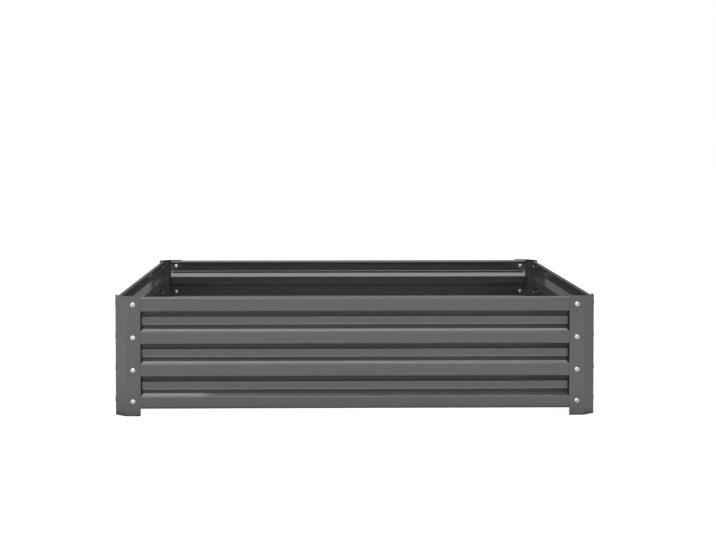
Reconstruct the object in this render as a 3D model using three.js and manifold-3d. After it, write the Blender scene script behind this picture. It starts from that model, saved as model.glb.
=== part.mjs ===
// Raised garden bed: four ribbed sheet-steel wall panels screwed behind four bent corner posts.
// It is open at the top and at the bottom, and stands on the lower ends of its posts.
// Millimetres, +Z up, origin on the ground under the middle of the bed, front wall towards -Y.

import * as THREE from 'three';
import { mergeVertices } from 'three/addons/utils/BufferGeometryUtils.js';
import Module from 'manifold-3d';

const wasm = await Module();
wasm.setup();

// ---- Driving dimensions ----

// The whole bed, measured over the outer faces of the posts
const bedLength = 1200;
const bedWidth = 1200;
const bedHeight = 300;

// Corner posts: one sheet bent twice, with a 45 degree facet on the corner and a flange along each wall
const postSheet = 1.2;
const cornerFacet = 28; // how far the facet reaches along each wall
const flangeWidth = 37.5; // flat flange beside the facet
const postBendRadius = 2.4; // to the middle of the sheet

// Wall panels: one roll-formed sheet each, with level ribs pressed inwards and both long edges curled
const panelSheet = 0.8;
const groundClearance = 18; // ground to lower edge
const postStandsProud = 2; // upper edge to the top of the posts
const panelEndGap = 4; // corner fold of the post to the panel's end
const ribWidth = 51.5; // height of one rib, over both slopes
const ribFloor = 19.5; // flat bottom of a rib
const ribDepth = 16;
const ribBendRadius = 3; // to the middle of the sheet
const topLand = 35; // upper edge to the first rib
const bottomLand = 31; // last rib to the lower edge
const curlDiameter = 10; // rolled safety edge
const curlSweep = THREE.MathUtils.degToRad(300);

// Screws, each with a washer and a nut inside the bed
const screwDiameter = 6;
const holeClearance = 0.5; // around the screw, all round
const headDiameter = 13;
const headHeight = 4;
const headRimHeight = 1.2; // straight edge under the dome
const washerDiameter = 12;
const washerThickness = 1.2;
const nutAcrossFlats = 10;
const nutHeight = 5;
const threadBeyondNut = 2.5;

// Clearances
const seatGap = 0.3; // between faces that are clamped together
const washerClearance = 3; // washer's edge to the nearest curl or bend

// How finely round forms are divided
const bendSteps = 3;
const curlSteps = 10;
const holeSides = 12;
const headSides = 12;
const shankSides = 8;

// ---- Worked out from them ----

const panelTop = bedHeight - postStandsProud;
const panelSetback = postSheet + seatGap; // outer face of the bed to the panel's outer face
const screwLine = cornerFacet + flangeWidth / 2; // neighbouring wall's outer face to the screws
const washerRadius = washerDiameter / 2;
const slopeRise = (ribWidth - ribFloor) / 2;
const slopeAngle = Math.atan2(ribDepth, slopeRise);
const bendRun = ribBendRadius * Math.tan(slopeAngle / 2); // flat height that a bend takes up
const edgeToScrew = curlDiameter + washerClearance + washerRadius;
const screwToRib = washerRadius + washerClearance + bendRun;
const narrowestLand = 2 * screwToRib;
const outerLand = edgeToScrew + screwToRib; // the least that a screw beside an edge needs

// As many ribs as fit with room for a screw between them, evenly spread between the two outer lands
const ribsBegin = panelTop - Math.max(topLand, outerLand);
const ribsEnd = groundClearance + Math.max(bottomLand, outerLand);
const ribZone = ribsBegin - ribsEnd;
const ribCount = Math.floor((ribZone + narrowestLand) / (ribWidth + narrowestLand));
const ribPitch = ribCount > 1 ? (ribZone - ribWidth) / (ribCount - 1) : 0;
const ribTops = Array.from({ length: ribCount }, (_, i) => ribsBegin - i * ribPitch);

// One screw in each land: near both edges, and half-way between neighbouring ribs
const landScrews = ribTops.slice(1).map((top) => top + (ribPitch - ribWidth) / 2);
const screwHeights = [panelTop - edgeToScrew, ...landScrews, groundClearance + edgeToScrew];

// ---- Materials ----

const charcoalPaint = { color: 0x646669, roughness: 0.42, metalness: 0.1 };
const zincPlate = { color: 0xc4c6c8, roughness: 0.3, metalness: 0.95 };

// ---- Joining and cutting ----

function toSolid(geometry) {
  const bare = geometry.clone();
  bare.deleteAttribute('normal');
  bare.deleteAttribute('uv');
  const merged = mergeVertices(bare, 1e-4);
  const vertProperties = new Float32Array(merged.attributes.position.array);
  const triVerts = new Uint32Array(merged.index.array);
  return new wasm.Manifold(new wasm.Mesh({ numProp: 3, vertProperties, triVerts }));
}

function toGeometry(solid) {
  const { vertProperties, triVerts } = solid.getMesh();
  const geometry = new THREE.BufferGeometry();
  geometry.setAttribute('position', new THREE.BufferAttribute(vertProperties, 3));
  geometry.setIndex(new THREE.BufferAttribute(triVerts, 1));
  geometry.computeVertexNormals();
  return geometry;
}

function cutAll(solid, tools) {
  return tools.reduce((rest, tool) => rest.subtract(toSolid(tool)), solid);
}

// ---- Bent sheet ----

// Rounds the inner corners of a bent line with arcs of one radius.
function roundCorners(corners, radius) {
  const points = [corners[0]];
  for (let i = 1; i < corners.length - 1; i++) {
    const corner = corners[i];
    const before = corners[i - 1].clone().sub(corner).normalize();
    const after = corners[i + 1].clone().sub(corner).normalize();
    const halfAngle = Math.acos(THREE.MathUtils.clamp(before.dot(after), -1, 1)) / 2;
    const bisector = before.clone().add(after).normalize();
    const centre = corner.clone().addScaledVector(bisector, radius / Math.sin(halfAngle));
    const tangent = corner.clone().addScaledVector(before, radius / Math.tan(halfAngle));
    const turn = Math.sign(before.cross(after)) * (Math.PI - 2 * halfAngle);
    for (let step = 0; step <= bendSteps; step++) {
      points.push(tangent.clone().rotateAround(centre, (-turn * step) / bendSteps));
    }
  }
  points.push(corners[corners.length - 1]);
  return points;
}

// Moves a line sideways by a distance, keeping it parallel to itself.
function offsetLine(points, distance) {
  return points.map((point, i) => {
    const back = point.clone().sub(points[Math.max(i - 1, 0)]);
    const ahead = points[Math.min(i + 1, points.length - 1)].clone().sub(point);
    const into = (i > 0 ? back : ahead).normalize();
    const out = (i < points.length - 1 ? ahead : into).clone().normalize();
    const normal = new THREE.Vector2(-into.y - out.y, into.x + out.x).normalize();
    const stretch = 1 / (normal.x * -into.y + normal.y * into.x);
    return point.clone().addScaledVector(normal, distance * stretch);
  });
}

// The section of a sheet whose middle follows the given line.
function sheetSection(middle, thickness) {
  const oneFace = offsetLine(middle, thickness / 2);
  const otherFace = offsetLine(middle, -thickness / 2);
  return new THREE.Shape([...oneFace, ...otherFace.reverse()]);
}

// A round tool that lies along the Y axis, for a hole through sheet at y = 0.
function holeTool(x, z, reach) {
  const radius = screwDiameter / 2 + holeClearance;
  return new THREE.CylinderGeometry(radius, radius, reach, holeSides).translate(x, 0, z);
}

// ---- Pieces ----

// Half of a curl's circle sits in the sheet's outer plane; the rest turns into the bed.
function curl(centreHeight, direction) {
  const radius = curlDiameter / 2;
  const middleRadius = (curlDiameter - panelSheet) / 2;
  return Array.from({ length: curlSteps + 1 }, (_, step) => {
    const angle = Math.PI - (direction * curlSweep * step) / curlSteps;
    return new THREE.Vector2(
      radius + middleRadius * Math.cos(angle),
      centreHeight + middleRadius * Math.sin(angle),
    );
  });
}

// Section of a wall panel: x is the depth into the bed from the panel's outer face, y is the height.
function panelSection() {
  const landDepth = panelSheet / 2;
  const floorDepth = ribDepth + panelSheet / 2;
  const upperCurl = curl(panelTop - curlDiameter / 2, 1);
  const lowerCurl = curl(groundClearance + curlDiameter / 2, -1).reverse();
  const corners = [lowerCurl[lowerCurl.length - 1]];
  for (const top of [...ribTops].reverse()) {
    corners.push(new THREE.Vector2(landDepth, top - ribWidth));
    corners.push(new THREE.Vector2(floorDepth, top - ribWidth + slopeRise));
    corners.push(new THREE.Vector2(floorDepth, top - slopeRise));
    corners.push(new THREE.Vector2(landDepth, top));
  }
  corners.push(upperCurl[0]);
  const wall = roundCorners(corners, ribBendRadius);
  return sheetSection([...lowerCurl.slice(0, -1), ...wall, ...upperCurl.slice(1)], panelSheet);
}

// A panel for a wall of the given length. Its length runs along X and its inner side faces +Y.
function wallPanel(wallLength) {
  const length = wallLength - 2 * (cornerFacet + panelEndGap);
  const sheet = new THREE.ExtrudeGeometry(panelSection(), { depth: length, bevelEnabled: false });
  sheet.translate(0, 0, -length / 2);
  sheet.applyMatrix4(new THREE.Matrix4().makeBasis(
    new THREE.Vector3(0, 1, 0),
    new THREE.Vector3(0, 0, 1),
    new THREE.Vector3(1, 0, 0),
  ));
  const toScrews = wallLength / 2 - screwLine;
  const holes = [-toScrews, toScrews].flatMap((x) =>
    screwHeights.map((z) => holeTool(x, z, 4 * panelSheet)));
  return toGeometry(cutAll(toSolid(sheet), holes));
}

// A post at the corner where the walls' outer faces meet, with its flanges along +X and +Y.
function cornerPost() {
  const depth = postSheet / 2;
  const reach = cornerFacet + flangeWidth;
  const fold = cornerFacet + depth * (Math.SQRT2 - 1);
  const middle = roundCorners([
    new THREE.Vector2(reach, depth),
    new THREE.Vector2(fold, depth),
    new THREE.Vector2(depth, fold),
    new THREE.Vector2(depth, reach),
  ], postBendRadius);
  const section = sheetSection(middle, postSheet);
  const sheet = new THREE.ExtrudeGeometry(section, { depth: bedHeight, bevelEnabled: false });
  const alongX = screwHeights.map((z) => holeTool(screwLine, z, 4 * postSheet));
  const alongY = screwHeights.map((z) => holeTool(-screwLine, z, 4 * postSheet).rotateZ(-Math.PI / 2));
  return toGeometry(cutAll(toSolid(sheet), [...alongX, ...alongY]));
}

// A pan-head screw through post and panel, tightened with its washer and nut. The head looks along
// +Z, and the outer face of the bed is at z = 0.
function screwWithNut() {
  const headRadius = headDiameter / 2;
  const shankRadius = screwDiameter / 2;
  const headSeat = seatGap;
  const washerSeat = -(panelSetback + panelSheet + seatGap);
  const nutSeat = washerSeat - washerThickness;
  const shankEnd = nutSeat - nutHeight - threadBeyondNut;
  const head = new THREE.LatheGeometry([
    new THREE.Vector2(0, headSeat),
    new THREE.Vector2(headRadius, headSeat),
    new THREE.Vector2(headRadius, headSeat + headRimHeight),
    new THREE.Vector2(headRadius * 0.72, headSeat + headHeight * 0.85),
    new THREE.Vector2(0, headSeat + headHeight),
  ], headSides).rotateX(Math.PI / 2);
  const shankLength = headSeat + headRimHeight / 2 - shankEnd;
  const shank = new THREE.CylinderGeometry(shankRadius, shankRadius, shankLength, shankSides)
    .rotateX(Math.PI / 2)
    .translate(0, 0, shankEnd + shankLength / 2);
  const washer = new THREE.CylinderGeometry(washerRadius, washerRadius, washerThickness, headSides)
    .rotateX(Math.PI / 2)
    .translate(0, 0, washerSeat - washerThickness / 2);
  const nutRadius = nutAcrossFlats / Math.sqrt(3);
  const nutOverlap = washerThickness / 2;
  const nut = new THREE.CylinderGeometry(nutRadius, nutRadius, nutHeight + nutOverlap, 6)
    .rotateX(Math.PI / 2)
    .translate(0, 0, nutSeat - (nutHeight - nutOverlap) / 2);
  return toGeometry([shank, washer, nut].reduce((whole, more) => whole.add(toSolid(more)), toSolid(head)));
}

// ---- Assembly ----

function piece(name, geometry, finish) {
  const mesh = new THREE.Mesh(geometry, new THREE.MeshStandardMaterial(finish));
  mesh.name = name;
  return mesh;
}

// Each wall's group has its origin on the wall's outer face at ground level, X along the wall and
// Y into the bed. Left and right are as someone facing the wall from outside sees them.
const walls = [
  { name: 'front', length: bedLength, turn: 0, x: 0, y: -bedWidth / 2 },
  { name: 'right', length: bedWidth, turn: 1, x: bedLength / 2, y: 0 },
  { name: 'back', length: bedLength, turn: 2, x: 0, y: bedWidth / 2 },
  { name: 'left', length: bedWidth, turn: 3, x: -bedLength / 2, y: 0 },
];
const corners = [
  { name: 'front_left', turn: 0, x: -bedLength / 2, y: -bedWidth / 2 },
  { name: 'front_right', turn: 1, x: bedLength / 2, y: -bedWidth / 2 },
  { name: 'back_right', turn: 2, x: bedLength / 2, y: bedWidth / 2 },
  { name: 'back_left', turn: 3, x: -bedLength / 2, y: bedWidth / 2 },
];

function placedGroup({ turn, x, y }) {
  const place = new THREE.Group();
  place.position.set(x, y, 0);
  place.rotation.z = (turn * Math.PI) / 2;
  return place;
}

const group = new THREE.Group();

const postGeometry = cornerPost();
for (const corner of corners) {
  const place = placedGroup(corner);
  place.add(piece(`corner_post_${corner.name}`, postGeometry, charcoalPaint));
  group.add(place);
}

const screwGeometry = screwWithNut();
for (const wall of walls) {
  const place = placedGroup(wall);
  const panel = piece(`wall_panel_${wall.name}`, wallPanel(wall.length), charcoalPaint);
  panel.position.y = panelSetback;
  place.add(panel);
  for (const [side, sign] of [['left', -1], ['right', 1]]) {
    screwHeights.forEach((height, i) => {
      const screw = piece(`screw_${wall.name}_wall_${side}_${i + 1}`, screwGeometry, zincPlate);
      screw.position.set(sign * (wall.length / 2 - screwLine), 0, height);
      screw.rotation.x = Math.PI / 2;
      place.add(screw);
    });
  }
  group.add(place);
}

export default group;
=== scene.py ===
# Raised garden bed: four ribbed steel walls screwed behind four bent corner posts.
import math
import bmesh
import bpy
from mathutils import Matrix, Vector


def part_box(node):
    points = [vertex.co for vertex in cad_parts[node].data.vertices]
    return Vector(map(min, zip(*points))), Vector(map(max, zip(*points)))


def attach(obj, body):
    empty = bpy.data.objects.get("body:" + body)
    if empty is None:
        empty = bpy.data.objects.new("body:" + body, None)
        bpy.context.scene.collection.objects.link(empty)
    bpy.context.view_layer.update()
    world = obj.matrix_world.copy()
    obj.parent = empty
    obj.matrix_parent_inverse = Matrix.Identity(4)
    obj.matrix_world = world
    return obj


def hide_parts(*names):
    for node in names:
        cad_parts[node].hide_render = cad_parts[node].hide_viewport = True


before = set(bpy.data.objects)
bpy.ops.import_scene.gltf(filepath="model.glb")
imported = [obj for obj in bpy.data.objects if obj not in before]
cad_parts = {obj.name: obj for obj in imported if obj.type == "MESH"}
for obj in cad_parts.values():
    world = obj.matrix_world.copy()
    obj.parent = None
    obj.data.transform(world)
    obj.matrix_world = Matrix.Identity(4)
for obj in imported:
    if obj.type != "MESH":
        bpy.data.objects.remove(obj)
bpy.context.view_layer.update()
print("frame loaded")

scene = bpy.context.scene
lengthAxis, upAxis = Vector((1, 0, 0)), Vector((0, 0, 1))
quarterTurn = math.pi / 2
eighthTurn = math.pi / 4
hair = 1e-6  # points nearer than this are one
sharpAngle = math.radians(35)  # edges that turn by more than this stay sharp


# ---- small helpers for meshes ----

def newObject(name, data):
    thing = bpy.data.objects.new(name, data)
    scene.collection.objects.link(thing)
    return thing


def meshFrom(bm, name):
    mesh = bpy.data.meshes.new(name)
    bm.to_mesh(mesh)
    bm.free()
    return mesh


def settled(thing):
    # the mesh with its modifiers taken in, and the object gone
    graph = bpy.context.evaluated_depsgraph_get()
    mesh = bpy.data.meshes.new_from_object(thing.evaluated_get(graph))
    rough = thing.data
    bpy.data.objects.remove(thing)
    bpy.data.meshes.remove(rough)
    return mesh


def combined(mesh, tool, operation):
    # one mesh cut by, joined to or kept inside another
    body = newObject("work", mesh)
    other = newObject("tool", tool)
    step = body.modifiers.new("combine", "BOOLEAN")
    step.operation = operation
    step.solver = "EXACT"
    step.object = other
    result = settled(body)
    bpy.data.objects.remove(other)
    bpy.data.meshes.remove(tool)
    return result


def smoothed(mesh):
    # smooth shading that leaves large flat faces flat
    mesh.polygons.foreach_set("use_smooth", [True] * len(mesh.polygons))
    mesh.set_sharp_from_angle(angle=sharpAngle)
    thing = newObject("shading", mesh)
    flats = thing.modifiers.new("flats", "WEIGHTED_NORMAL")
    flats.keep_sharp = True
    flats.weight = 100
    return settled(thing)


def chain(bm, places):
    # a line of vertices joined by edges
    line = [bm.verts.new(place) for place in places]
    for first, second in zip(line, line[1:]):
        bm.edges.new((first, second))
    return line


def swept(bm, shift):
    # turns a line into a strip, carried along by the shift
    made = bmesh.ops.extrude_edge_only(bm, edges=bm.edges[:])["geom"]
    moved = [part for part in made if isinstance(part, bmesh.types.BMVert)]
    bmesh.ops.translate(bm, verts=moved, vec=shift)
    bmesh.ops.recalc_face_normals(bm, faces=bm.faces[:])


def turned(bm, steps):
    # spins what is in the bmesh once about the Z axis
    bmesh.ops.spin(
        bm, geom=bm.verts[:] + bm.edges[:], cent=(0, 0, 0), axis=upAxis,
        angle=2 * math.pi, steps=steps, use_merge=True)
    bmesh.ops.remove_doubles(bm, verts=bm.verts[:], dist=hair)
    bmesh.ops.recalc_face_normals(bm, faces=bm.faces[:])


def rod(radius, low, high, segments):
    # a closed round bar along Z
    bm = bmesh.new()
    bmesh.ops.create_cone(
        bm, cap_ends=True, segments=segments, radius1=radius, radius2=radius, depth=high - low)
    bmesh.ops.translate(bm, verts=bm.verts[:], vec=(0, 0, (low + high) / 2))
    return bm


# ---- where the frame puts things ----

wallTurns = {"front": 0, "right": 1, "back": 2, "left": 3}  # quarter turns about the bed's middle
postTurns = {"front_left": 0, "front_right": 1, "back_right": 2, "back_left": 3}
screwCount = 4  # on each flange

postLow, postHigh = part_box("corner_post_front_left")
panelLow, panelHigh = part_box("wall_panel_front")
halfLength, halfWidth = -postLow.x, -postLow.y


def screwBox(wall, side, number):
    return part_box(f"screw_{wall}_wall_{side}_{number}")


def middle(box):
    return (box[0] + box[1]) / 2


screwHeights = [middle(screwBox("front", "left", number + 1)).z for number in range(screwCount)]
screwLine = halfLength + middle(screwBox("front", "left", 1)).x


def wallPlace(wall):
    # origin on the wall's outer face at the ground, X along the wall, Y into the bed
    out = halfWidth if wall in ("front", "back") else halfLength
    return Matrix.Rotation(wallTurns[wall] * quarterTurn, 4, "Z") @ Matrix.Translation((0, -out, 0))


def postPlace(corner):
    # origin where the two walls' outer faces meet, X and Y along them
    turn = Matrix.Rotation(postTurns[corner] * quarterTurn, 4, "Z")
    along = (halfLength, halfWidth) if postTurns[corner] % 2 == 0 else (halfWidth, halfLength)
    return turn @ Matrix.Translation((-along[0], -along[1], 0))


# ---- small helpers for shaders ----

def nodeGroup(name, inputs, outputs):
    tree = bpy.data.node_groups.new(name, "ShaderNodeTree")
    for way, sockets in (("INPUT", inputs), ("OUTPUT", outputs)):
        for label, kind in sockets.items():
            tree.interface.new_socket(name=label, in_out=way, socket_type=f"NodeSocket{kind}")
    return tree, tree.nodes.new("NodeGroupInput"), tree.nodes.new("NodeGroupOutput")


def fed(tree, socket, value):
    # gives a socket a number or another node's output
    if isinstance(value, (int, float)):
        socket.default_value = value
    else:
        tree.links.new(value, socket)


def calculated(tree, operation, *values):
    node = tree.nodes.new("ShaderNodeMath")
    node.operation = operation
    for socket, value in zip(node.inputs, values):
        fed(tree, socket, value)
    return node.outputs[0]


def ranged(tree, value, low, high, toLow=0.0, toHigh=1.0):
    node = tree.nodes.new("ShaderNodeMapRange")
    node.inputs["From Min"].default_value = low
    node.inputs["From Max"].default_value = high
    fed(tree, node.inputs["To Min"], toLow)
    fed(tree, node.inputs["To Max"], toHigh)
    tree.links.new(value, node.inputs["Value"])
    return node.outputs["Result"]


def noise(tree, place, grain):
    node = tree.nodes.new("ShaderNodeTexNoise")
    node.inputs["Scale"].default_value, node.inputs["Detail"].default_value = grain
    tree.links.new(place, node.inputs["Vector"])
    return node.outputs["Fac"]


# ---- the skin that both finishes share ----

paintSkin = {  # noise scale and detail of each effect
    "wave": (5, 1),  # sheet that is never quite flat
    "pebbles": (900, 2),  # fine orange peel
    "clouds": (14, 4),  # patches of duller and glossier skin
    "speckles": (40, 6),  # lighter and darker spots
    "usual": (0.3, 0.7),  # values that the noise mostly keeps between
}


def bumped(tree, place, grain, depth, below=None):
    node = tree.nodes.new("ShaderNodeBump")
    tree.links.new(noise(tree, place, grain), node.inputs["Height"])
    tree.links.new(depth, node.inputs["Distance"])
    if below:
        tree.links.new(below, node.inputs["Normal"])
    return node.outputs["Normal"]


def paintSkinGroup():
    tree, given, made = nodeGroup(
        "paintSkin",
        {"Place": "Vector", "Pebble Depth": "Float", "Wave Depth": "Float", "Roughness": "Float",
         "Roughness Spread": "Float", "Colour": "Color", "Colour Spread": "Float"},
        {"Colour": "Color", "Roughness": "Float", "Normal": "Vector"})
    place = given.outputs["Place"]
    low, high = paintSkin["usual"]
    wave = bumped(tree, place, paintSkin["wave"], given.outputs["Wave Depth"])
    pebbles = bumped(tree, place, paintSkin["pebbles"], given.outputs["Pebble Depth"], wave)
    cloud = ranged(tree, noise(tree, place, paintSkin["clouds"]), low, high, -1, 1)
    roughness = calculated(
        tree, "MULTIPLY_ADD", cloud, given.outputs["Roughness Spread"], given.outputs["Roughness"])
    speckle = ranged(tree, noise(tree, place, paintSkin["speckles"]), low, high, -1, 1)
    tone = calculated(tree, "MULTIPLY_ADD", speckle, given.outputs["Colour Spread"], 1)
    shade = tree.nodes.new("ShaderNodeVectorMath")
    shade.operation = "SCALE"
    tree.links.new(given.outputs["Colour"], shade.inputs[0])
    tree.links.new(tone, shade.inputs["Scale"])
    tree.links.new(shade.outputs["Vector"], made.inputs["Colour"])
    tree.links.new(roughness, made.inputs["Roughness"])
    tree.links.new(pebbles, made.inputs["Normal"])
    return tree


# ---- materials ----

charcoalPaint = {
    "colour": (0.148, 0.148, 0.148),
    "colourSpread": 0.03,
    "roughness": 0.08,
    "roughnessSpread": 0.012,
    "metallic": 0.52,  # the share that mirrors
    "edgeTint": 0.35,  # how bright it mirrors at a grazing angle
    "pebbleDepth": 0.000001,
    "waveDepth": 0.00008,
}
zincPlate = {
    "colour": (0.54, 0.55, 0.56),
    "colourSpread": 0.08,
    "roughness": 0.24,
    "roughnessSpread": 0.06,
    "metallic": 1.0,
    "edgeTint": 1.0,
    "pebbleDepth": 0.000002,
    "waveDepth": 0.00001,
}


def skinnedMaterial(name, values, skin):
    material = bpy.data.materials.new(name)
    material.use_nodes = True
    tree = material.node_tree
    shader = tree.nodes["Principled BSDF"]
    shader.inputs["Metallic"].default_value = values["metallic"]
    shader.inputs["Specular Tint"].default_value = (*[values["edgeTint"]] * 3, 1)
    shader.inputs["Specular IOR Level"].default_value = 0  # only the metallic share shines
    group = tree.nodes.new("ShaderNodeGroup")
    group.node_tree = skin
    group.inputs["Colour"].default_value = (*values["colour"], 1)
    group.inputs["Colour Spread"].default_value = values["colourSpread"]
    group.inputs["Roughness"].default_value = values["roughness"]
    group.inputs["Roughness Spread"].default_value = values["roughnessSpread"]
    group.inputs["Pebble Depth"].default_value = values["pebbleDepth"]
    group.inputs["Wave Depth"].default_value = values["waveDepth"]
    place = tree.nodes.new("ShaderNodeTexCoord")
    tree.links.new(place.outputs["Object"], group.inputs["Place"])
    tree.links.new(group.outputs["Colour"], shader.inputs["Base Color"])
    tree.links.new(group.outputs["Roughness"], shader.inputs["Roughness"])
    tree.links.new(group.outputs["Normal"], shader.inputs["Normal"])
    return material


skin = paintSkinGroup()
paintMaterial = skinnedMaterial("charcoalPaint", charcoalPaint, skin)
zincMaterial = skinnedMaterial("zincPlate", zincPlate, skin)
print("materials ready")


def finishPiece(mesh, name, material, node):
    # names the piece, gives it its finish and lets it stand for its CAD node
    mesh.materials.clear()
    mesh.materials.append(material)
    mesh.name = name
    thing = newObject(name, mesh)
    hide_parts(node)
    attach(thing, "root")
    return thing


# ---- bent sheet ----

drill = {"length": 0.01, "segments": 40}


def sheetMesh(bm, bendEdges, bendRun, values):
    # rounds the bends of a sharp-cornered sheet, gives it its thickness and breaks its cut edges
    bmesh.ops.bevel(
        bm, geom=bendEdges, offset=bendRun, offset_type="OFFSET", affect="EDGES",
        segments=values["bendSegments"], profile=0.5, material=-1, clamp_overlap=False)
    thing = newObject("sheet", meshFrom(bm, "sheet"))
    wall = thing.modifiers.new("thickness", "SOLIDIFY")
    wall.thickness = values["sheet"]
    wall.offset = 0
    wall.use_even_offset = True
    edge = thing.modifiers.new("rim", "BEVEL")
    edge.width = values["rim"]
    edge.segments = 2
    edge.limit_method = "ANGLE"
    edge.angle_limit = math.radians(60)
    return settled(thing)


def withHoles(mesh, places, axis, radius):
    # drills round holes through the sheet; the drill stands on the Y axis or on the X axis
    drills = bmesh.new()
    for place in places:
        turn = Matrix.Rotation(quarterTurn, 4, "X" if axis == "Y" else "Y")
        bmesh.ops.create_cone(
            drills, cap_ends=True, segments=drill["segments"], radius1=radius, radius2=radius,
            depth=drill["length"], matrix=Matrix.Translation(place) @ turn)
    return combined(mesh, meshFrom(drills, "drills"), "DIFFERENCE")


# ---- wall panels ----

panel = {
    "sheet": 0.0008,  # gauge of the steel
    "ribs": 3,
    "ribWidth": 0.0515,  # height of a rib over both slopes
    "ribFloor": 0.0195,
    "bendRadius": 0.003,  # to the middle of the sheet
    "bendSegments": 8,
    "curl": 0.01,  # outside diameter of the rolled edges
    "curlSweep": math.radians(300),
    "curlSteps": 40,
    "rim": 0.00015,  # how far the cut edges are broken
    "holeRadius": 0.0035,
}


def panelMesh():
    half = panel["sheet"] / 2
    setback = panelLow.y + halfWidth  # outer face of the bed to the panel
    landDepth = setback + half
    floorDepth = panelHigh.y + halfWidth - half
    ribPitch = screwHeights[1] - screwHeights[2]
    firstRib = screwHeights[1] + (ribPitch + panel["ribWidth"]) / 2
    slopeRise = (panel["ribWidth"] - panel["ribFloor"]) / 2
    slopeAngle = math.atan2(floorDepth - landDepth, slopeRise)
    curlRadius = panel["curl"] / 2
    corners = [(landDepth, panelHigh.z - curlRadius)]
    for rib in range(panel["ribs"]):
        top = firstRib - rib * ribPitch
        bottom = top - panel["ribWidth"]
        corners += [(landDepth, top), (floorDepth, top - slopeRise)]
        corners += [(floorDepth, bottom + slopeRise), (landDepth, bottom)]
    corners.append((landDepth, panelLow.z + curlRadius))

    bm = bmesh.new()
    line = chain(bm, [(panelLow.x, depth, height) for depth, height in corners])
    bends = set(line[1:-1])
    for end, way in ((line[0], -1), (line[-1], 1)):
        centre = Vector((panelLow.x, setback + curlRadius, end.co.z))
        bmesh.ops.spin(
            bm, geom=[end], cent=centre, axis=lengthAxis, angle=way * panel["curlSweep"],
            steps=panel["curlSteps"])
    bmesh.ops.remove_doubles(bm, verts=bm.verts[:], dist=hair)
    swept(bm, lengthAxis * (panelHigh.x - panelLow.x))
    bendEdges = [
        edge for vert in bends if vert.is_valid for edge in vert.link_edges
        if abs(edge.verts[0].co.x - edge.verts[1].co.x) > panel["curl"]]
    mesh = sheetMesh(bm, bendEdges, panel["bendRadius"] * math.tan(slopeAngle / 2), panel)
    toScrews = halfLength - screwLine
    holes = [(side * toScrews, landDepth, height) for side in (-1, 1) for height in screwHeights]
    return smoothed(withHoles(mesh, holes, "Y", panel["holeRadius"]))


# ---- corner posts ----

post = {
    "sheet": 0.0012,
    "facet": 0.028,  # reach of the 45 degree facet along each wall
    "bendRadius": 0.0024,
    "bendSegments": 12,
    "rim": 0.0002,
    "holeRadius": 0.0035,
}


def postMesh():
    half = post["sheet"] / 2
    reach = postHigh.x - postLow.x
    fold = post["facet"] + half * (math.sqrt(2) - 1)
    bm = bmesh.new()
    line = chain(bm, [(reach, half, 0), (fold, half, 0), (half, fold, 0), (half, reach, 0)])
    folds = set(line[1:-1])
    swept(bm, upAxis * (postHigh.z - postLow.z))
    foldEdges = [
        edge for vert in folds if vert.is_valid for edge in vert.link_edges
        if abs(edge.verts[0].co.z - edge.verts[1].co.z) > reach]
    mesh = sheetMesh(bm, foldEdges, post["bendRadius"] * math.tan(eighthTurn / 2), post)
    for axis, x, y in (("Y", screwLine, half), ("X", half, screwLine)):
        holes = [(x, y, height) for height in screwHeights]
        mesh = withHoles(mesh, holes, axis, post["holeRadius"])
    return smoothed(mesh)


# ---- screws, washers and nuts ----

screw = {
    "headRadius": 0.0065,
    "headHeight": 0.004,
    "rimHeight": 0.0011,
    "headSteps": 10,
    "domeSpread": 0.75,  # lower is flatter in the middle
    "domeDrop": 0.9,
    "underEdge": 0.0002,
    "segments": 40,
    "threadRadius": 0.00296,
    "rootRadius": 0.00252,
    "threadPitch": 0.001,
    "threadSteps": 24,
    "slotReach": 0.0038,  # half the span of the cross recess
    "slotWidth": 0.0017,
    "slotDepth": 0.0028,
    "slotTaper": 0.3,  # share of the span left at the bottom
    "slotNarrowing": 0.6,  # and of the width
    "coreRadius": 0.0018,  # the round middle of the recess
    "coreEnd": 0.0002,
    "coreSegments": 24,
    "recessTurn": 0.1,  # how far the recesses stop from upright crosses turned by 45 degrees
    "seat": 0.0003,
    "endChamfer": 0.0006,
    "beyondNut": 0.0025,
}
washer = {"radius": 0.006, "bore": 0.0032, "thickness": 0.0012, "edge": 0.0001}
nut = {
    "acrossFlats": 0.01,
    "height": 0.005,
    "bore": 0.003,
    "crown": 0.0007,  # height of the chamfer on its corners
    "crownFlat": 0.96,  # share of the flats' width that stays flat
    "crownSpare": 1.02,
}


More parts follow.
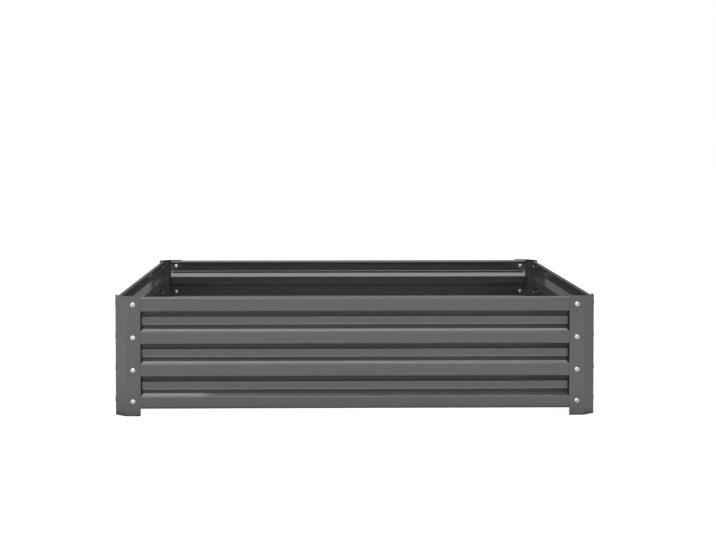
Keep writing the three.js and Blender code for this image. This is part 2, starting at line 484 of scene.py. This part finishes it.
def headMesh():
    seat, under = screw["seat"], screw["underEdge"]
    dome = screw["headHeight"] - screw["rimHeight"]
    profile = []
    for step in range(screw["headSteps"] + 1):
        angle = quarterTurn * step / screw["headSteps"]
        radius = screw["headRadius"] * math.sin(angle) ** screw["domeSpread"]
        rise = dome * math.cos(angle) ** screw["domeDrop"]
        profile.append((radius, 0, seat + screw["rimHeight"] + rise))
    profile += [(screw["headRadius"], 0, seat + under), (screw["headRadius"] - under, 0, seat)]
    profile.append((0, 0, seat))
    bm = bmesh.new()
    chain(bm, profile)
    turned(bm, screw["segments"])
    head = meshFrom(bm, "head")
    top = seat + screw["headHeight"]
    for turn in range(2):
        blade = bmesh.new()
        bmesh.ops.create_cube(blade, size=1)
        size = (2 * screw["slotReach"], screw["slotWidth"], 2 * screw["slotDepth"])
        bmesh.ops.scale(blade, verts=blade.verts[:], vec=size)
        deep = [vert for vert in blade.verts if vert.co.z < 0]
        bmesh.ops.scale(blade, verts=deep, vec=(screw["slotTaper"], screw["slotNarrowing"], 1))
        bmesh.ops.translate(blade, verts=blade.verts[:], vec=(0, 0, top))
        quarter = Matrix.Rotation(turn * quarterTurn, 3, "Z")
        bmesh.ops.rotate(blade, verts=blade.verts[:], matrix=quarter)
        head = combined(head, meshFrom(blade, "blade"), "DIFFERENCE")
    core = bmesh.new()
    bmesh.ops.create_cone(
        core, cap_ends=True, segments=screw["coreSegments"], radius1=screw["coreEnd"],
        radius2=2 * screw["coreRadius"] - screw["coreEnd"], depth=2 * screw["slotDepth"],
        matrix=Matrix.Translation((0, 0, top)))
    return combined(head, meshFrom(core, "core"), "DIFFERENCE")


def threadMesh(top, tip):
    # a zigzag line turned about the axis while it sinks by one pitch, then trimmed at both ends
    pitch, steps = screw["threadPitch"], screw["threadSteps"]
    spareTurns = 3
    turns = math.ceil((top - tip) / pitch) + spareTurns
    bm = bmesh.new()
    line = []
    for step in range(2 * turns + 1):
        radius = screw["threadRadius"] if step % 2 else screw["rootRadius"]
        line.append((radius, 0, top + 2 * pitch - step * pitch / 2))
    chain(bm, line)
    bmesh.ops.spin(
        bm, geom=bm.verts[:] + bm.edges[:], cent=(0, 0, 0), axis=upAxis,
        dvec=(0, 0, -pitch / steps), angle=2 * math.pi, steps=steps)
    bmesh.ops.remove_doubles(bm, verts=bm.verts[:], dist=hair)
    for height, way in ((top, 1), (tip, -1)):
        bmesh.ops.bisect_plane(
            bm, geom=bm.verts[:] + bm.edges[:] + bm.faces[:], dist=hair / 100,
            plane_co=(0, 0, height), plane_no=(0, 0, way), clear_outer=True)
        cut = [
            edge for edge in bm.edges
            if edge.is_boundary and abs(edge.verts[0].co.z - height) < hair]
        bmesh.ops.holes_fill(bm, edges=cut, sides=0)
    bmesh.ops.recalc_face_normals(bm, faces=bm.faces[:])
    mesh = meshFrom(bm, "thread")

    spare = 0.2 * screw["threadRadius"]  # by which the trimming bar is wider than the thread
    point = rod(screw["threadRadius"] + spare, tip, top + pitch, steps)
    low = [
        edge for edge in point.edges
        if all(abs(vert.co.z - tip) < hair for vert in edge.verts)]
    bmesh.ops.bevel(
        point, geom=low, offset=screw["endChamfer"] + spare, offset_type="OFFSET",
        affect="EDGES", segments=1, profile=0.5, material=-1, clamp_overlap=False)
    return combined(mesh, meshFrom(point, "point"), "INTERSECT")


def washerMesh(top):
    bm = bmesh.new()
    low = top - washer["thickness"]
    ring = chain(bm, [
        (washer["bore"], 0, top), (washer["radius"], 0, top),
        (washer["radius"], 0, low), (washer["bore"], 0, low)])
    bm.edges.new((ring[-1], ring[0]))
    turned(bm, screw["segments"])
    rims = [edge for edge in bm.edges if edge.calc_face_angle(0) > sharpAngle]
    bmesh.ops.bevel(
        bm, geom=rims, offset=washer["edge"], affect="EDGES", segments=2, profile=0.5,
        material=-1)
    return meshFrom(bm, "washer")


def nutMesh(top):
    low = top - nut["height"]
    corner = nut["acrossFlats"] / math.sqrt(3)
    flat = nut["acrossFlats"] / 2 * nut["crownFlat"]
    outside = corner * nut["crownSpare"]
    prism = meshFrom(rod(corner, low, top, 6), "prism")
    crown = bmesh.new()
    chain(crown, [
        (0, 0, top), (flat, 0, top), (outside, 0, top - nut["crown"]),
        (outside, 0, low + nut["crown"]), (flat, 0, low), (0, 0, low)])
    turned(crown, screw["segments"])
    prism = combined(prism, meshFrom(crown, "crown"), "INTERSECT")
    bore = rod(nut["bore"], low - nut["height"], top + nut["height"], screw["segments"])
    return combined(prism, meshFrom(bore, "bore"), "DIFFERENCE")


def fastenerMesh():
    low, high = screwBox("front", "left", 1)
    outerFace = -halfWidth
    tip = outerFace - high.y  # the head looks along +Z here, the tip into the bed
    nutTop = tip + screw["beyondNut"] + nut["height"]
    washerTop = nutTop + washer["thickness"]
    head = headMesh()
    thread = threadMesh(screw["seat"] + screw["rimHeight"] / 2, tip)
    whole = bmesh.new()
    for part in (combined(head, thread, "UNION"), washerMesh(washerTop), nutMesh(nutTop)):
        whole.from_mesh(part)
        bpy.data.meshes.remove(part)
    return smoothed(meshFrom(whole, "fastener"))


def recessTurn(number, sign):
    # where a screw happened to stop when it was driven home
    return Matrix.Rotation(
        eighthTurn + screw["recessTurn"] * math.sin(5 * number + sign), 4, "Z")


# ---- making the pieces ----

def placedCopy(mesh, place):
    copy = mesh.copy()
    copy.transform(place)
    return copy


panelShape = panelMesh()
print("panel shape", len(panelShape.polygons), "faces")
for wall in wallTurns:
    mesh = placedCopy(panelShape, wallPlace(wall))
    finishPiece(mesh, f"wallPanel_{wall}", paintMaterial, f"wall_panel_{wall}")

postShape = postMesh()
print("post shape", len(postShape.polygons), "faces")
for corner in postTurns:
    mesh = placedCopy(postShape, postPlace(corner))
    node = f"corner_post_{corner}"
    finishPiece(mesh, f"cornerPost_{corner}", paintMaterial, node)

fastenerShape = fastenerMesh()
print("fastener shape", len(fastenerShape.polygons), "faces")
facing = Matrix.Rotation(quarterTurn, 4, "X")  # heads outwards
for wall in wallTurns:
    for side, sign in (("left", -1), ("right", 1)):
        for number, height in enumerate(screwHeights, 1):
            spot = Matrix.Translation((sign * (halfLength - screwLine), 0, height))
            place = wallPlace(wall) @ spot @ facing @ recessTurn(number, sign)
            mesh = placedCopy(fastenerShape, place)
            name, node = f"fastener_{wall}_{side}_{number}", f"screw_{wall}_wall_{side}_{number}"
            finishPiece(mesh, name, zincMaterial, node)
print("pieces made")


# ---- studio ----

studio = {
    "floorSize": 60.0,
    "floorColour": 0.8,
    "backdrop": 0.84,  # white that the camera sees on top of the floor's own light
    "mirrored": 0.72,  # and that surfaces reflect
    "shadeReach": 0.5,  # how far from the bed the floor darkens
    "shadeSeen": 0.12,  # share of that darkening the camera sees
    "paintedLightLeft": 1.33,  # painted light: the floor glows brighter in reflections on the left of the bed, against the middle
    # painted shade: the floor glows darker in reflections on the right of the bed
    "paintedShadeRight": 0.76,
    # where that painted light and shade begin and end, out from the bed's middle along X
    "sidesBegin": 0.75,
    "sidesEnd": 1.2,
    "paintedShadeInBed": 0.1,  # painted shade: the floor glows darker in reflections inside the bed
    # distance outside the bed's walls over which that painted shade fades out
    "paintedShadeInBedEdge": 0.06,
    "ceiling": 0.22,  # the darker top of the studio in reflections
    "ceilingStart": 0.55,
    "ceilingEnd": 0.8,
    "dome": 0.64,  # light from all round on matt surfaces
}


def seenDirectly(tree, path):
    # 1 for rays from the camera, in reflections and through glass
    both = calculated(tree, "MAXIMUM", path.outputs["Is Camera Ray"], path.outputs["Is Glossy Ray"])
    return calculated(tree, "MAXIMUM", both, path.outputs["Is Transmission Ray"])


def paintedReflectedFloor(tree):
    # the floor's glow in reflections, with painted light on the left of the bed, painted shade on
    # the right and painted shade inside it
    spot = tree.nodes.new("ShaderNodeTexCoord")
    parts = tree.nodes.new("ShaderNodeSeparateXYZ")
    tree.links.new(spot.outputs["Object"], parts.inputs["Vector"])
    x, y = parts.outputs["X"], parts.outputs["Y"]
    begin, end = studio["sidesBegin"], studio["sidesEnd"]
    left = ranged(tree, x, -end, -begin, studio["paintedLightLeft"], 1)
    right = ranged(tree, x, begin, end, 1, studio["paintedShadeRight"])
    out = calculated(
        tree, "MAXIMUM",
        calculated(tree, "SUBTRACT", calculated(tree, "ABSOLUTE", x), halfLength),
        calculated(tree, "SUBTRACT", calculated(tree, "ABSOLUTE", y), halfWidth))
    # painted shade: the floor inside the bed glows darker in reflections, fading out just outside
    # the walls
    inside = ranged(tree, out, 0, studio["paintedShadeInBedEdge"], studio["paintedShadeInBed"], 1)
    sides = calculated(tree, "MULTIPLY", left, right)
    paintedLightAndShade = calculated(tree, "MULTIPLY", sides, inside)
    return calculated(tree, "MULTIPLY", paintedLightAndShade, studio["mirrored"])


def studioWorld():
    world = bpy.data.worlds.new("studioWorld")
    scene.world = world
    world.use_nodes = True
    tree = world.node_tree
    back = tree.nodes["Background"]
    back.inputs["Color"].default_value = (1, 1, 1, 1)
    path = tree.nodes.new("ShaderNodeLightPath")
    direction = tree.nodes.new("ShaderNodeTexCoord")
    parts = tree.nodes.new("ShaderNodeSeparateXYZ")
    tree.links.new(direction.outputs["Generated"], parts.inputs["Vector"])
    start, end = studio["ceilingStart"], studio["ceilingEnd"]
    white = ranged(tree, parts.outputs["Z"], start, end, 1, studio["ceiling"])
    strength = ranged(tree, seenDirectly(tree, path), 0, 1, studio["dome"], white)
    tree.links.new(strength, back.inputs["Strength"])


def studioFloor():
    bm = bmesh.new()
    bmesh.ops.create_grid(bm, x_segments=1, y_segments=1, size=studio["floorSize"] / 2)
    floor = newObject("studioFloor", meshFrom(bm, "studioFloor"))
    material = bpy.data.materials.new("studioFloor")
    material.use_nodes = True
    tree = material.node_tree
    shader = tree.nodes["Principled BSDF"]
    shader.inputs["Base Color"].default_value = (*[studio["floorColour"]] * 3, 1)
    shader.inputs["Roughness"].default_value = 1
    shader.inputs["Specular IOR Level"].default_value = 0
    shader.inputs["Emission Color"].default_value = (1, 1, 1, 1)
    path = tree.nodes.new("ShaderNodeLightPath")
    nearby = tree.nodes.new("ShaderNodeAmbientOcclusion")
    nearby.inputs["Distance"].default_value = studio["shadeReach"]
    shade = calculated(tree, "SUBTRACT", 1, nearby.outputs["AO"])
    share = ranged(tree, path.outputs["Is Camera Ray"], 0, 1, -1, -studio["shadeSeen"])
    unshaded = calculated(tree, "MULTIPLY_ADD", shade, share, 1)
    white = ranged(
        tree, path.outputs["Is Glossy Ray"], 0, 1, studio["backdrop"], paintedReflectedFloor(tree))
    glow = calculated(tree, "MULTIPLY", white, unshaded)
    glow = calculated(tree, "MULTIPLY", glow, seenDirectly(tree, path))
    tree.links.new(glow, shader.inputs["Emission Strength"])
    floor.data.materials.append(material)


softboxes = {
    "frontBox": {
        "place": (-1.3, -6.5, 3.2), "target": (-0.3, -0.6, 0.2), "size": (5.8, 5.5),
        "radiance": 2.0},
    "overheadBox": {
        "place": (0.1, 0.44, 3.2), "target": (0.1, 0.44, 0), "size": (4.0, 3.0),
        "radiance": 2.9, "turn": math.radians(1.5)},
    "gleamBox": {  # shines in the left end of the lowest rib
        "place": (-1.5, -1.3, 3.2), "target": (-1.5, -1.3, 0), "size": (1.8, 0.5),
        "radiance": 2.9},
}


def softbox(name, values):
    lamp = bpy.data.lights.new(name, "AREA")
    lamp.shape = "RECTANGLE"
    lamp.size, lamp.size_y = width, depth = values["size"]
    lamp.energy = values["radiance"] * math.pi * width * depth
    thing = newObject(name, lamp)
    thing.visible_camera = False
    thing.visible_diffuse = False  # the boxes only shine in the metal, and the dome lights the rest
    thing.location = values["place"]
    way = Vector(values["target"]) - Vector(values["place"])
    thing.rotation_euler = way.to_track_quat("-Z", "Y").to_euler()
    if "turn" in values:
        thing.rotation_euler.z = values["turn"]


studioWorld()
studioFloor()
for name, values in softboxes.items():
    softbox(name, values)


# ---- camera ----

view = {
    "place": (-0.0764, -4.6833, 0.7006),
    "turn": math.radians(-1.158),  # to the right of straight ahead
    "tilt": math.radians(-2.343),  # a little down from level
    "focalLength": 82.797,
    "sensor": 36.0,
    "shift": -0.09491,  # moves the frame down onto the bed while its uprights stay upright
}

cameraData = bpy.data.cameras.new("camera")
cameraData.sensor_width = view["sensor"]
cameraData.lens = view["focalLength"]
cameraData.shift_y = view["shift"]
camera = newObject("camera", cameraData)
camera.location = view["place"]
camera.rotation_euler = (quarterTurn + view["tilt"], 0, view["turn"])
scene.camera = camera
scene.view_settings.view_transform = "Standard"

print("studio ready")
